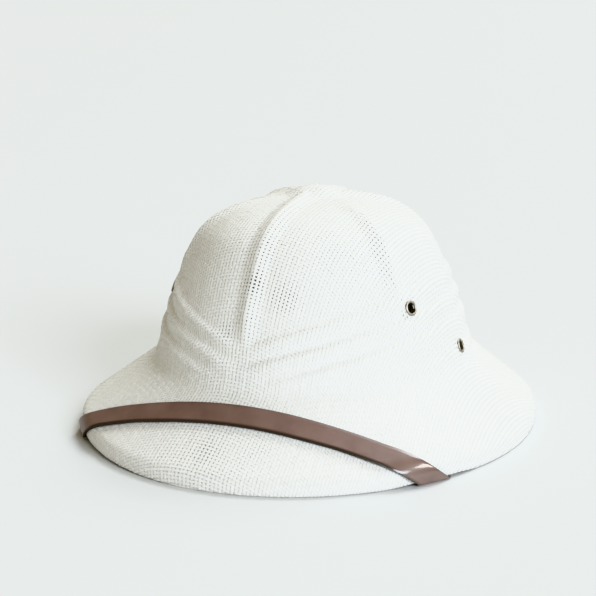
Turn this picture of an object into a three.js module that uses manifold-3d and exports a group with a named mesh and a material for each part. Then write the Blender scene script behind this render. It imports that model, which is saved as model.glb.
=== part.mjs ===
// A sun helmet pressed from woven straw, with a leather chin strap laid over the front of its brim.
// Millimetres, +Z up. It stands on its brim at z = 0, its front faces -Y and the wearer's left is +X.
// An angle round the hat, phi, runs from the front towards the wearer's left.
import * as THREE from "three";
import { mergeVertices } from "three/addons/utils/BufferGeometryUtils.js";
import Module from "manifold-3d";

// Driving dimensions
const BRIM_EDGE = { halfLength: 165, halfWidth: 149.3, centreY: 0 };
const CROWN_BASE = { halfLength: 120.4, halfWidth: 104.4, centreY: 6.2 };
const APEX_Y = 4;
const BASE_HEIGHT = 42.9;
const LIP_HEIGHT = 9.2; // the turned-down edge of the brim
const BRIM_RUN = 45; // the brim's profile is drawn at this width and stretched to the true one
const SIDE_RISE = 3.8; // how far the edge lifts off the table beside the ears
const REST_ANGLE = THREE.MathUtils.degToRad(20); // the edge lies flat this far to each side of front and back
const WALL = 2;
const GAP = 0.42; // clearance between neighbouring pieces
const HOLLOW_GAP = 0.6; // clearance where a wall curves towards its neighbour

// The crown's outline: the share of its base oval that is left at each height above the base.
const CROWN_SECTIONS = [
  { height: 0, share: 1 },
  { height: 22, share: 0.93 },
  { height: 44, share: 0.862 },
  { height: 66, share: 0.772 },
  { height: 85, share: 0.655 },
  { height: 97.5, share: 0.455 },
  { height: 104.1, share: 0.17 },
  { height: 105.8, share: 0 },
];

// The pleated band's folds, from the lowest up: the height of each upper edge above the crown's base,
// and how far that edge stands out. A fold with a front below the base runs out at the brim before it gets there.
const FOLDS = [
  { front: -12.9, side: 8.6, back: 10, lip: 2, lowest: 2.6 },
  { front: 1.7, side: 26.6, back: 27, lip: 2.2, lowest: 4.6 },
  { front: 13.7, side: 39.2, back: 40, lip: 2.2, lowest: 6.6 },
  { front: 25.4, side: 52.6, back: 54, lip: 2.2, lowest: 8.6 },
];
const FOLD_RISE = 1.6; // height over which the crown steps in above a fold's edge
const FOLD_RUN_OUT = 7; // height above the base below which a fold's edge flattens
const FRONT_FADE = { sine: 0.22, share: 0.35 }; // the folds flatten where they meet at the front

// Ribs pressed into the crown from the pleated band to the top. The one from front to back runs over the top,
// and the others fade between these two distances from it.
const RIB = { count: 6, height: 4, halfWidth: 9.5, footShare: 0.5, footLength: 14, innerShare: 0.78 };
const RIB_SHAPE = { crest: 0.15, power: 1.4 }; // how round the crest is, and how softly the flanks run out
const RIB_FADE = { none: 8, full: 34 };

// Brim corners on its nominal profile: distance out from the crown's base, height, and rounding
const WALL_LEAN = { out: -7.9, up: 24 };
const BRIM_CORNERS = [
  { out: WALL_LEAN.out, z: BASE_HEIGHT + WALL_LEAN.up, round: 0 },
  { out: 0, z: BASE_HEIGHT, round: 2.4 },
  { out: BRIM_RUN, z: LIP_HEIGHT, round: 4 },
  { out: BRIM_RUN, z: 0, round: 0 },
];

// frontOffset is from the crown's base, foldRadius is the flattened brim's inner radius
const STRAP = { width: 13.5, thickness: 1.8, frontOffset: 15, foldRadius: 148, endPast: 9 };
const STRAP_ROUND = { lip: 4.6, edge: 1.2, inside: 3 }; // its bends over the brim
const STRAP_LEVEL = { from: 0.4, to: 0.85, atEnd: 4 }; // where its sections turn level with the brim's edge
const STRAP_TURN = THREE.MathUtils.degToRad(2.2); // it lies turned this far round from the front
const EYELET = { flange: 9.8, bore: 6.4, tubeWall: 0.5, flangeThickness: 1.1, innerFlange: 9.2 };
const EYELET_ROLL = 0.5; // how far the tube's end is rolled over inside
const EYELET_EDGE = 0.3; // the rounding of the flange's edge
const EYELET_MARGIN = 0.8; // the flat seat in the straw reaches this far past the flange

// Eyelets on one side: angle round the hat, height above the crown's base, and how proud its seat stands
const EYELETS = [
  { name: "front", phi: THREE.MathUtils.degToRad(65.2), height: 43.7, seat: 1.2, holdsStrap: false },
  { name: "side", phi: THREE.MathUtils.degToRad(90.2), height: 10.8, seat: 1, holdsStrap: true },
];
const SIDES = [
  { name: "left", sign: 1 },
  { name: "right", sign: -1 },
];

// Columns round one half of a rib's sector, in degrees from the rib, closer together on the rib
const COLUMN_ANGLES = [0, 2, 4, 6, 9.5, 14, 19, 24.5, 30];
const CROWN_ROWS = 11;
const INNER_CROWN_ROWS = 9;
const INNER_CROWN_START = 0.04; // share of the way up where the crown's inside starts
const CORNER_STEPS = 3;
const STRAP_ROUND_STEPS = 4;
const STRAP_WIDTH_STEPS = 3;
const STRAP_FRONT_STEP = THREE.MathUtils.degToRad(3.5);
const STRAP_LINE_STEP = 9;
const EYELET_SIDES = 12;
const CUT_REACH = 14; // half the length of a cutter
const SMALL_STEP = 0.004; // for slopes

const straw = new THREE.MeshStandardMaterial({ color: 0xf2efe6, roughness: 0.85, metalness: 0 });
const leather = new THREE.MeshStandardMaterial({ color: 0x6e584e, roughness: 0.45, metalness: 0 });
const metal = new THREE.MeshStandardMaterial({ color: 0xb9b0a2, roughness: 0.35, metalness: 0.9 });

const wasm = await Module();
wasm.setup();

function smoothstep(value, from, to) {
  return THREE.MathUtils.smoothstep(value, from, to);
}

function lerp(a, b, share) {
  return THREE.MathUtils.lerp(a, b, share);
}

// Crown surface

const MERIDIAN_RADIUS = (CROWN_BASE.halfLength + CROWN_BASE.halfWidth) / 2;
const meridian = new THREE.SplineCurve(
  CROWN_SECTIONS.map((row) => new THREE.Vector2(row.share * MERIDIAN_RADIUS, row.height)),
);
meridian.arcLengthDivisions = 800;
const meridianLength = meridian.getLength();

// The place along the meridian, from 0 at the base to 1 at the top, that has this height.
function placeAtHeight(height) {
  let low = 0;
  let high = 1;
  for (let i = 0; i < 40; i++) {
    const middle = (low + high) / 2;
    if (meridian.getPointAt(middle).y < height) low = middle;
    else high = middle;
  }
  return (low + high) / 2;
}

function bareCrownPoint(phi, place) {
  const at = meridian.getPointAt(Math.min(place, 1));
  const share = Math.max(at.x, 0) / MERIDIAN_RADIUS;
  return new THREE.Vector3(
    CROWN_BASE.halfWidth * share * Math.sin(phi),
    lerp(APEX_Y, CROWN_BASE.centreY, share) - CROWN_BASE.halfLength * share * Math.cos(phi),
    BASE_HEIGHT + at.y,
  );
}

function crownNormal(phi, place) {
  if (place > 1 - SMALL_STEP) return new THREE.Vector3(0, 0, 1);
  const from = Math.max(place - SMALL_STEP, 0);
  const up = bareCrownPoint(phi, place + SMALL_STEP).sub(bareCrownPoint(phi, from));
  const round = bareCrownPoint(phi + SMALL_STEP, place).sub(bareCrownPoint(phi - SMALL_STEP, place));
  return round.cross(up).normalize();
}

function crownPoint(phi, place, offset) {
  return bareCrownPoint(phi, place).addScaledVector(crownNormal(phi, place), offset);
}

function foldHeight(fold, phi) {
  const end = Math.cos(phi) > 0 ? fold.front : fold.back;
  return Math.max(lerp(end, fold.side, Math.abs(Math.sin(phi))), fold.lowest);
}

function foldLip(fold, phi) {
  const sine = Math.cos(phi) > 0 ? Math.abs(Math.sin(phi)) : 1;
  const atFront = lerp(FRONT_FADE.share, 1, smoothstep(sine, 0, FRONT_FADE.sine));
  return fold.lip * atFront * smoothstep(foldHeight(fold, phi), fold.lowest, fold.lowest + FOLD_RUN_OUT);
}

const topFold = FOLDS[FOLDS.length - 1];

// The height of a rib, from 1 on its crest to 0 at its edge.
function ridgeAt(across) {
  const rounded = Math.hypot(Math.min(across / RIB.halfWidth, 1), RIB_SHAPE.crest);
  const edge = Math.hypot(1, RIB_SHAPE.crest);
  return ((edge - rounded) / (edge - RIB_SHAPE.crest)) ** RIB_SHAPE.power;
}

function ribOffset(phi, place) {
  const bare = bareCrownPoint(phi, place);
  const radius = Math.hypot(bare.x, bare.y - APEX_Y);
  const sector = (2 * Math.PI) / RIB.count;
  const number = Math.round(phi / sector);
  const turn = Math.abs(phi - sector * number);
  const overTop = ridgeAt(Math.abs(bare.x));
  const beside = ridgeAt(turn * radius) * smoothstep(radius, RIB_FADE.none, RIB_FADE.full);
  const ridge = number % (RIB.count / 2) === 0 ? overTop : Math.max(overTop, beside);
  const foot = placeAtHeight(foldHeight(topFold, phi) + FOLD_RISE);
  const above = Math.max(place - foot, 0) * meridianLength;
  return RIB.height * ridge * lerp(RIB.footShare, 1, smoothstep(above, 0, RIB.footLength));
}

// Brim surface

function rimRise(phi) {
  const start = Math.sin(REST_ANGLE);
  return SIDE_RISE * smoothstep(Math.abs(Math.sin(phi)), start, 1);
}

// A point of the brim, from its place on the nominal profile.
function brimPoint(phi, out, z) {
  const share = out / BRIM_RUN;
  return new THREE.Vector3(
    lerp(CROWN_BASE.halfWidth, BRIM_EDGE.halfWidth, share) * Math.sin(phi),
    lerp(CROWN_BASE.centreY, BRIM_EDGE.centreY, share) -
      lerp(CROWN_BASE.halfLength, BRIM_EDGE.halfLength, share) * Math.cos(phi),
    z + rimRise(phi) * THREE.MathUtils.clamp(share, 0, 1),
  );
}

// The corners of a profile moved sideways by a distance, outwards if positive.
function offsetCorners(corners, distance) {
  const points = corners.map((corner) => new THREE.Vector2(corner.out, corner.z));
  const sides = points.slice(1).map((point, i) => {
    const along = point.clone().sub(points[i]).normalize();
    return { along, normal: new THREE.Vector2(-along.y, along.x) };
  });
  return corners.map((corner, i) => {
    const before = sides[Math.max(i - 1, 0)];
    const after = sides[Math.min(i, sides.length - 1)];
    const both = before.normal.clone().add(after.normal);
    const move = both.multiplyScalar(distance / (1 + before.normal.dot(after.normal)));
    return { ...corner, out: corner.out + move.x, z: corner.z + move.y };
  });
}

// A path through corners, each rounded from this distance before it to this distance after it.
function roundedPath(corners) {
  const points = corners.map((corner) => new THREE.Vector2(corner.out, corner.z));
  const path = new THREE.Path();
  path.moveTo(points[0].x, points[0].y);
  for (let i = 1; i < points.length; i++) {
    const next = points[i + 1];
    const round = corners[i].round;
    if (!next || round === 0) {
      path.lineTo(points[i].x, points[i].y);
      continue;
    }
    const start = points[i].clone().add(points[i - 1].clone().sub(points[i]).setLength(round));
    const end = points[i].clone().add(next.clone().sub(points[i]).setLength(round));
    path.lineTo(start.x, start.y);
    path.quadraticCurveTo(points[i].x, points[i].y, end.x, end.y);
  }
  return path;
}

// Meshes from rings

function geometryOf(points, triangles) {
  const geometry = new THREE.BufferGeometry().setFromPoints(points);
  geometry.setIndex(triangles);
  return geometry;
}

// A closed skin over rings of points, from a pole to a pole.
function skinOverRings(firstPole, rings, lastPole) {
  const size = rings[0].length;
  const points = [firstPole, ...rings.flat(), lastPole];
  const last = points.length - 1;
  const at = (ring, column) => 1 + ring * size + (column % size);
  const triangles = [];
  for (let column = 0; column < size; column++) {
    triangles.push(0, at(0, column), at(0, column + 1));
    for (let ring = 0; ring + 1 < rings.length; ring++) {
      const a = at(ring, column);
      const b = at(ring + 1, column);
      const c = at(ring, column + 1);
      const d = at(ring + 1, column + 1);
      triangles.push(a, b, c, c, b, d);
    }
    const end = rings.length - 1;
    triangles.push(at(end, column), last, at(end, column + 1));
  }
  return geometryOf(points, triangles);
}

// A flat band through sections, each with the points of its outer face and of its inner face.
function bandThroughSections(sections) {
  const across = sections[0].outer.length;
  const size = 2 * across;
  const points = sections.flatMap((section) => [...section.outer, ...section.inner.slice().reverse()]);
  const triangles = [];
  for (let i = 0; i + 1 < sections.length; i++) {
    for (let k = 0; k < size; k++) {
      const a = i * size + k;
      const b = i * size + ((k + 1) % size);
      triangles.push(a, b, a + size, b, b + size, a + size);
    }
  }
  const end = (sections.length - 1) * size;
  for (let k = 0; k + 1 < across; k++) {
    const facing = size - 1 - k;
    triangles.push(k, facing, k + 1, k + 1, facing, facing - 1);
    triangles.push(end + k, end + k + 1, end + facing, end + k + 1, end + facing - 1, end + facing);
  }
  return geometryOf(points, triangles);
}

// Joins and cuts

function solidOf(geometry) {
  const bare = geometry.clone();
  bare.deleteAttribute("normal");
  bare.deleteAttribute("uv");
  const merged = mergeVertices(bare, 1e-4);
  return new wasm.Manifold(
    new wasm.Mesh({
      numProp: 3,
      vertProperties: new Float32Array(merged.attributes.position.array),
      triVerts: new Uint32Array(merged.index.array),
    }),
  );
}

function geometryOfSolid(solid) {
  const mesh = solid.getMesh();
  const geometry = new THREE.BufferGeometry();
  geometry.setAttribute("position", new THREE.BufferAttribute(new Float32Array(mesh.vertProperties), 3));
  geometry.setIndex(new THREE.BufferAttribute(new Uint32Array(mesh.triVerts), 1));
  return geometry;
}

// Straw shell

const sectorDegrees = 360 / RIB.count;
const halfColumns = COLUMN_ANGLES.slice(1, -1);
const columns = [];
for (let rib = 0; rib < RIB.count; rib++) {
  const turns = [...halfColumns.map((angle) => -angle).reverse(), ...COLUMN_ANGLES];
  columns.push(...turns.map((angle) => THREE.MathUtils.degToRad(rib * sectorDegrees + angle)));
}

function ring(pointAt) {
  return columns.map((phi) => pointAt(phi));
}

function crownRing(rowShare) {
  return ring((phi) => {
    const foot = placeAtHeight(foldHeight(topFold, phi) + FOLD_RISE);
    const place = lerp(foot, 1, rowShare);
    return crownPoint(phi, place, ribOffset(phi, place));
  });
}

function foldRings(fold) {
  const above = ring((phi) => {
    const place = placeAtHeight(foldHeight(fold, phi) + FOLD_RISE);
    return crownPoint(phi, place, fold === topFold ? ribOffset(phi, place) : 0);
  });
  const edge = ring((phi) => crownPoint(phi, placeAtHeight(foldHeight(fold, phi)), foldLip(fold, phi)));
  return [above, edge];
}

function strawShell() {
  const rings = [];
  for (let row = CROWN_ROWS - 1; row > 0; row--) rings.push(crownRing(row / CROWN_ROWS));
  for (const fold of [...FOLDS].reverse()) rings.push(...foldRings(fold));
  const outside = roundedPath(BRIM_CORNERS).getPoints(CORNER_STEPS).slice(1);
  for (const point of outside) rings.push(ring((phi) => brimPoint(phi, point.x, point.y)));

  const inside = roundedPath(offsetCorners(BRIM_CORNERS, -WALL)).getPoints(CORNER_STEPS).slice(1);
  for (const point of inside.reverse()) rings.push(ring((phi) => brimPoint(phi, point.x, point.y)));
  for (let row = 1; row < INNER_CROWN_ROWS; row++) {
    const place = lerp(INNER_CROWN_START, 1, row / INNER_CROWN_ROWS);
    rings.push(ring((phi) => crownPoint(phi, place, RIB.innerShare * ribOffset(phi, place) - WALL)));
  }
  return skinOverRings(crownPoint(0, 1, RIB.height), rings, crownPoint(0, 1, RIB.innerShare * RIB.height - WALL));
}

// Eyelets

function eyeletSeat(eyelet, sign) {
  const phi = sign * eyelet.phi;
  const place = placeAtHeight(eyelet.height);
  return { point: bareCrownPoint(phi, place), normal: crownNormal(phi, place) };
}

function alongNormal(object, seat) {
  object.position.copy(seat.point);
  object.quaternion.setFromUnitVectors(new THREE.Vector3(0, 1, 0), seat.normal);
  object.updateMatrix();
  return object;
}

// A cylinder on the eyelet's axis, between two heights along it.
function axisCutter(seat, radius, from, to) {
  const geometry = new THREE.CylinderGeometry(radius, radius, to - from, EYELET_SIDES);
  geometry.translate(0, (from + to) / 2, 0);
  geometry.applyMatrix4(alongNormal(new THREE.Object3D(), seat).matrix);
  return solidOf(geometry);
}

const tubeRadius = EYELET.bore / 2 + EYELET.tubeWall;
const holeRadius = tubeRadius + GAP;
const seatRadius = EYELET.flange / 2 + EYELET_MARGIN;

function eyeletGeometry(eyelet) {
  const bore = EYELET.bore / 2;
  const outer = EYELET.flange / 2;
  const inner = EYELET.innerFlange / 2;
  const top = eyelet.seat + GAP;
  const strapRoom = eyelet.holdsStrap ? HOLLOW_GAP + STRAP.thickness : 0;
  const foot = -WALL - HOLLOW_GAP - strapRoom;
  const thick = EYELET.flangeThickness;
  const rolled = foot - EYELET_ROLL;
  const profile = [
    { radius: bore, height: rolled + EYELET_EDGE },
    { radius: bore + EYELET_EDGE, height: rolled },
    { radius: inner, height: rolled },
    { radius: inner, height: foot },
    { radius: tubeRadius, height: foot },
    { radius: tubeRadius, height: top },
    { radius: outer, height: top },
    { radius: outer - EYELET_EDGE, height: top + thick / 2 },
    { radius: (bore + outer) / 2, height: top + thick },
    { radius: bore, height: top + thick / 2 },
    { radius: bore, height: rolled + EYELET_EDGE },
  ].map((row) => new THREE.Vector2(row.radius, row.height));
  return new THREE.LatheGeometry(profile, EYELET_SIDES);
}

// Chin strap

const strapOffset = GAP + STRAP.thickness / 2;
const overBrim = offsetCorners(BRIM_CORNERS, strapOffset);
const underBrim = offsetCorners(BRIM_CORNERS, -WALL - HOLLOW_GAP - STRAP.thickness / 2);
const strapPath = roundedPath([
  { ...overBrim[1], round: 0 },
  { ...overBrim[2], round: STRAP_ROUND.lip },
  { out: overBrim[3].out, z: -strapOffset, round: STRAP_ROUND.edge },
  { out: underBrim[3].out, z: -strapOffset, round: STRAP_ROUND.edge },
  { ...underBrim[1], round: STRAP_ROUND.inside },
  { ...underBrim[0], round: 0 },
]);
const strapPathLength = strapPath.getLength();

// A point of the strap: how far along its path over the brim, and how far proud of the path.
function strapPoint(phi, along, proud) {
  const share = THREE.MathUtils.clamp(along / strapPathLength, 0, 1);
  const at = strapPath.getPoint(share);
  const tangent = strapPath.getTangent(share);
  return brimPoint(phi, at.x - tangent.y * proud, at.y + tangent.x * proud);
}

// Pulled tight over the sloping brim, the strap runs straight on the brim's flattened cone.
const coneShare = Math.cos(Math.atan2(BASE_HEIGHT - LIP_HEIGHT, BRIM_RUN));
const frontRadius = STRAP.foldRadius + STRAP.frontOffset;

function strapOnSlope(turn) {
  return frontRadius / Math.cos(turn * coneShare) - STRAP.foldRadius;
}

const curveLengths = strapPath.getCurveLengths();
const bendAlong = curveLengths[0];
const bendTurn = Math.acos(frontRadius / (STRAP.foldRadius + bendAlong)) / coneShare;
const sideEyelet = EYELETS.find((eyelet) => eyelet.holdsStrap);
const wallLength = Math.hypot(WALL_LEAN.out, WALL_LEAN.up);
const eyeletAlong = curveLengths[curveLengths.length - 1] - wallLength * (1 - sideEyelet.height / WALL_LEAN.up);

// One half of the strap's middle line, from the front to its end past the side eyelet.
function strapRoute(sign) {
  const route = [];
  const frontSteps = Math.round(bendTurn / STRAP_FRONT_STEP);
  for (let i = 0; i <= frontSteps; i++) {
    const turn = (bendTurn * i) / frontSteps;
    route.push({ phi: STRAP_TURN + sign * turn, along: strapOnSlope(turn) });
  }
  const bendPhi = STRAP_TURN + sign * bendTurn;
  const end = eyeletAlong + STRAP.endPast;
  strapPath.curves.forEach((curve, i) => {
    const from = Math.max(i > 0 ? curveLengths[i - 1] : 0, bendAlong);
    const to = Math.min(curveLengths[i], end);
    if (to <= from) return;
    const steps = curve.isLineCurve ? Math.ceil((to - from) / STRAP_LINE_STEP) : STRAP_ROUND_STEPS;
    for (let k = 1; k <= steps; k++) {
      const along = lerp(from, to, k / steps);
      const share = (along - bendAlong) / (eyeletAlong - bendAlong);
      route.push({ phi: lerp(bendPhi, sign * sideEyelet.phi, share), along });
    }
  });
  return route;
}

// How far a section lies level with the brim's edge, so that the strap bends along whole sections:
// not at all on the slope in front, fully round the edge and under the brim, and not at all at its end.
function levelShare(stop) {
  const turn = Math.abs(stop.phi - STRAP_TURN) / bendTurn;
  const atEnd = smoothstep(stop.along, eyeletAlong - STRAP_LEVEL.atEnd, eyeletAlong + STRAP_LEVEL.atEnd);
  return smoothstep(turn, STRAP_LEVEL.from, STRAP_LEVEL.to) * (1 - atEnd);
}

function strapSections() {
  const left = strapRoute(1);
  const right = strapRoute(-1).slice(1).reverse();
  const route = [...right, ...left];
  return route.map((stop, i) => {
    const before = route[Math.max(i - 1, 0)];
    const after = route[Math.min(i + 1, route.length - 1)];
    const here = strapPoint(stop.phi, stop.along, 0);
    const reach = strapPoint(stop.phi + SMALL_STEP, stop.along, 0).distanceTo(here) / SMALL_STEP;
    const heading = new THREE.Vector2((after.phi - before.phi) * reach, after.along - before.along).normalize();
    const square = new THREE.Vector2(-heading.y, heading.x);
    const level = new THREE.Vector2(i < right.length ? 1 : -1, 0);
    const across = square.lerp(level, levelShare(stop)).normalize();
    const half = STRAP.width / 2 / Math.abs(across.cross(heading));
    const face = (proud) => {
      const points = [];
      for (let k = 0; k <= STRAP_WIDTH_STEPS; k++) {
        const sideways = half * ((2 * k) / STRAP_WIDTH_STEPS - 1);
        const phi = stop.phi + (across.x * sideways) / reach;
        points.push(strapPoint(phi, stop.along + across.y * sideways, proud));
      }
      return points;
    };
    return { outer: face(STRAP.thickness / 2), inner: face(-STRAP.thickness / 2) };
  });
}

// Assembly

const hat = new THREE.Group();
let shellSolid = solidOf(strawShell());
let strapSolid = solidOf(bandThroughSections(strapSections()));

for (const side of SIDES) {
  for (const eyelet of EYELETS) {
    const seat = eyeletSeat(eyelet, side.sign);
    const hole = axisCutter(seat, holeRadius, -CUT_REACH, CUT_REACH);
    shellSolid = shellSolid.subtract(hole).subtract(axisCutter(seat, seatRadius, eyelet.seat, CUT_REACH));
    if (eyelet.holdsStrap) strapSolid = strapSolid.subtract(hole);
    const mesh = new THREE.Mesh(eyeletGeometry(eyelet), metal.clone());
    mesh.name = `eyelet_${side.name}_${eyelet.name}`;
    hat.add(alongNormal(mesh, seat));
  }
}

const shellMesh = new THREE.Mesh(geometryOfSolid(shellSolid), straw);
shellMesh.name = "straw_shell";
const strapMesh = new THREE.Mesh(geometryOfSolid(strapSolid), leather);
strapMesh.name = "chin_strap";
hat.add(shellMesh, strapMesh);

export default hat;
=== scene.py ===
import math

import bpy
import numpy as np
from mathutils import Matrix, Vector


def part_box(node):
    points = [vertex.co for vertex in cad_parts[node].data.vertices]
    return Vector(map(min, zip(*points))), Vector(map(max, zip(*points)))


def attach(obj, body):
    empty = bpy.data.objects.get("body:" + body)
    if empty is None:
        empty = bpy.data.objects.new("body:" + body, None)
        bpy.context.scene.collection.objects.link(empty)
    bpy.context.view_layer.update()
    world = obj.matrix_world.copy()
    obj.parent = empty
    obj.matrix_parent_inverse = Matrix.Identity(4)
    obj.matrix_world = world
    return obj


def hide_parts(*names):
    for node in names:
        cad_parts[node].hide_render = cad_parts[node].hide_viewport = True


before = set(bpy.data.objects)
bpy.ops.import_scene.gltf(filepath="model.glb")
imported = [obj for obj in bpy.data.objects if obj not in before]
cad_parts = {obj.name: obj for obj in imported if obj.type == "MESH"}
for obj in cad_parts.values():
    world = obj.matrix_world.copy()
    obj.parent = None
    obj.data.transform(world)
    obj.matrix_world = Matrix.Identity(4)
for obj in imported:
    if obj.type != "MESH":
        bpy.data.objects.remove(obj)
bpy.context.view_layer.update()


# The pressed form
# One sheet of woven straw, damped and pressed over a block: a domed crown with ribs, a pleated band round
# its foot, and a brim that slopes to a turned-down edge. Every piece lies on this surface. Sizes are in
# millimetres and angles in radians, which run round the hat from the front (-Y) to the wearer's left (+X).
MM = 0.001
_, shell_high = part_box("straw_shell")
EDGE_HALF_WIDTH = shell_high.x / MM
EDGE_HALF_LENGTH = shell_high.y / MM
CROWN_HALF_WIDTH = 104.4
CROWN_HALF_LENGTH = 120.4
CROWN_CENTRE_Y = 6.2
CROWN_RADIUS = (CROWN_HALF_WIDTH + CROWN_HALF_LENGTH) / 2
APEX_Y = 4.0
BASE_HEIGHT = 42.9
BASE_ROUND = 2.4
LIP_HEIGHT = 9.2
LIP_ROUND = 4.0
BRIM_RUN = 45.0
HEM_ROUND = 1.0
HEM_HEIGHT = 6.0
HEM_STEPS = 13
SIDE_RISE = 0.6
REST_ANGLE = math.radians(20)
CORNER_RISE = 2.6
CORNER_ANGLE = math.radians(-48)
CORNER_SPREAD = math.radians(48)
STRAP_RISE = 1.15
STRAP_CROSSING = math.radians(54.3)
STRAP_RISE_FLAT = 0.1
STRAP_RISE_REACH = 0.22

# The crown's outline from the top down: height above its base, and the share of the base oval there.
CROWN_SECTIONS = [
    (105.8, 0),
    (104.1, 0.17),
    (97.5, 0.455),
    (85, 0.655),
    (66, 0.772),
    (44, 0.862),
    (22, 0.93),
    (0, 1),
]

# The pleated band's folds from the lowest up: the height of the upper edge above the crown's base at the
# front, side and back, how far the edge stands out, and the least height it keeps where it runs out.
FOLDS = [
    (-12.9, 8.6, 10, 2.0, 2.6),
    (1.7, 26.6, 27, 2.2, 4.6),
    (13.7, 39.2, 40, 2.2, 6.6),
    (25.4, 52.6, 54, 2.2, 8.6),
]
FOLD_RISE = 4.0
FOLD_RUN_OUT = 12.0
FRONT_FADE_SINE = 0.22
FRONT_FADE_SHARE = 0.35

# Six ribs: the front one runs up into a low boss on the top, and the two beside it fade between two
# distances from the top. The three at the back are full near the top and sink into the crown further down.
RIB_COUNT = 6
RIB_HEIGHT = 3.1
RIB_HALF_WIDTH = 9.5
RIB_CREST = 0.15
RIB_POWER = 1.4
RIB_FADE_NONE = 8.0
RIB_FADE_FULL = 70.0
BACK_RIB_FULL = 26.0
BACK_RIB_SINKS = 48.0
BACK_RIB_LOW = 82.0
BACK_RIB_SHARE = 0.3
BOSS_HEIGHT = 4.7
BOSS_FLAT = 5.0
BOSS_REACH = 23.0
RIB_FOOT_SHARE = 0.5
RIB_FOOT_LENGTH = 14.0


def ease(value, start, end):
    share = np.clip((value - start) / (end - start), 0, 1)
    return share * share * (3 - 2 * share)


def between(first, last, share):
    return first + (last - first) * share


def smooth_curve(points, steps=60):
    """A curve through all the points, with evenly spread corners."""
    ends = np.vstack([points[:1], points, points[-1:]])
    t = np.linspace(0, 1, steps, endpoint=False)[:, None]
    stretches = []
    for before, start, end, after in zip(ends, ends[1:], ends[2:], ends[3:]):
        leave = (end - before) / 2
        arrive = (after - start) / 2
        cubic = 2 * start - 2 * end + leave + arrive
        square = -3 * start + 3 * end - 2 * leave - arrive
        stretches.append(cubic * t**3 + square * t**2 + leave * t + start)
    return np.vstack(stretches + [points[-1:]])


def round_corners(corners, rounds, steps=10):
    """A line through corners, each rounded from this distance before it to this distance after it."""
    corners = np.asarray(corners, float)
    line = [corners[:1]]
    t = np.linspace(0, 1, steps)[:, None]
    for before, corner, after, reach in zip(corners, corners[1:], corners[2:], rounds):
        start = corner + (before - corner) * reach / np.linalg.norm(before - corner)
        end = corner + (after - corner) * reach / np.linalg.norm(after - corner)
        line.append((1 - t) ** 2 * start + 2 * t * (1 - t) * corner + t**2 * end)
    return np.vstack(line + [corners[-1:]])


def lengths_along(points):
    return np.concatenate([[0], np.cumsum(np.linalg.norm(np.diff(points, axis=0), axis=1))])


# The profile from the top of the crown to the brim's edge, where the cloth is turned in and up inside as a
# hem. Its columns are the distance from the axis and the height.
crown_points = [(share * CROWN_RADIUS, BASE_HEIGHT + up) for up, share in CROWN_SECTIONS]
crown_line = smooth_curve(np.array(crown_points))
crown_line = crown_line[crown_line[:, 1] > BASE_HEIGHT + BASE_ROUND]
base_corner = (CROWN_RADIUS, BASE_HEIGHT)
lip_corner = (CROWN_RADIUS + BRIM_RUN, LIP_HEIGHT)
edge_corner = (CROWN_RADIUS + BRIM_RUN, HEM_ROUND)
brim_line = round_corners([crown_line[-1], base_corner, lip_corner, edge_corner], [BASE_ROUND, LIP_ROUND])
hem_turn = np.linspace(0, -math.pi, HEM_STEPS)[1:]
hem_line = np.column_stack([np.cos(hem_turn) - 1, np.sin(hem_turn)]) * HEM_ROUND + edge_corner
hem_end = (CROWN_RADIUS + BRIM_RUN - 2 * HEM_ROUND, HEM_HEIGHT)
profile = np.vstack([crown_line, brim_line[1:], hem_line, hem_end])
profile_run = lengths_along(profile)
HEM_RUN = profile_run[-1]
BRIM_END_RUN = profile_run[len(crown_line) + len(brim_line) - 2]
CROWN_RUN = profile_run[len(crown_line) - 1]


def rim_rise(phi):
    """How far the brim's edge lifts off the table: beside the ears, at a bent corner and over the strap."""
    beside_ears = SIDE_RISE * ease(abs(np.sin(phi)), math.sin(REST_ANGLE), 1)
    corner = CORNER_RISE * (1 - ease(abs(phi - CORNER_ANGLE), 0, CORNER_SPREAD))
    over_strap = STRAP_RISE * (1 - ease(abs(phi - STRAP_CROSSING), STRAP_RISE_FLAT, STRAP_RISE_REACH))
    return beside_ears + corner + over_strap


def bare_point(phi, radius, z):
    """A point of the form without ribs and folds, from its place on the profile."""
    share = np.minimum(radius / CROWN_RADIUS, 1)
    out = np.maximum(radius - CROWN_RADIUS, 0) / BRIM_RUN
    half_width = CROWN_HALF_WIDTH * share + (EDGE_HALF_WIDTH - CROWN_HALF_WIDTH) * out
    half_length = CROWN_HALF_LENGTH * share + (EDGE_HALF_LENGTH - CROWN_HALF_LENGTH) * out
    centre_y = between(APEX_Y, CROWN_CENTRE_Y, share) - CROWN_CENTRE_Y * out
    height = z + rim_rise(phi) * np.minimum(out, 1)
    return np.stack([half_width * np.sin(phi), centre_y - half_length * np.cos(phi), height], -1)


def profile_at(run):
    return np.interp(run, profile_run, profile[:, 0]), np.interp(run, profile_run, profile[:, 1])


def form_point(phi, run):
    return bare_point(phi, *profile_at(run))


def crown_run_at(height):
    """The distance from the top where the crown has this height above its base."""
    return np.interp(-height, BASE_HEIGHT - crown_line[:, 1], profile_run[: len(crown_line)])


def outward_of(point_at, phi, run, step=0.25, radius=60):
    """The outward direction of a surface given by angle and distance from the top."""
    turn = step / radius
    down = point_at(phi, run + step) - point_at(phi, np.maximum(run - step, 0))
    beside_top = np.maximum(run, step)
    round_the_hat = point_at(phi + turn, beside_top) - point_at(phi - turn, beside_top)
    normal = np.cross(down, round_the_hat)
    return normal / np.linalg.norm(normal, axis=-1, keepdims=True)


def fold_height(fold, phi):
    front, side, back, _, lowest = fold
    end = np.where(np.cos(phi) > 0, front, back)
    return np.maximum(between(end, side, abs(np.sin(phi))), lowest)


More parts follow.
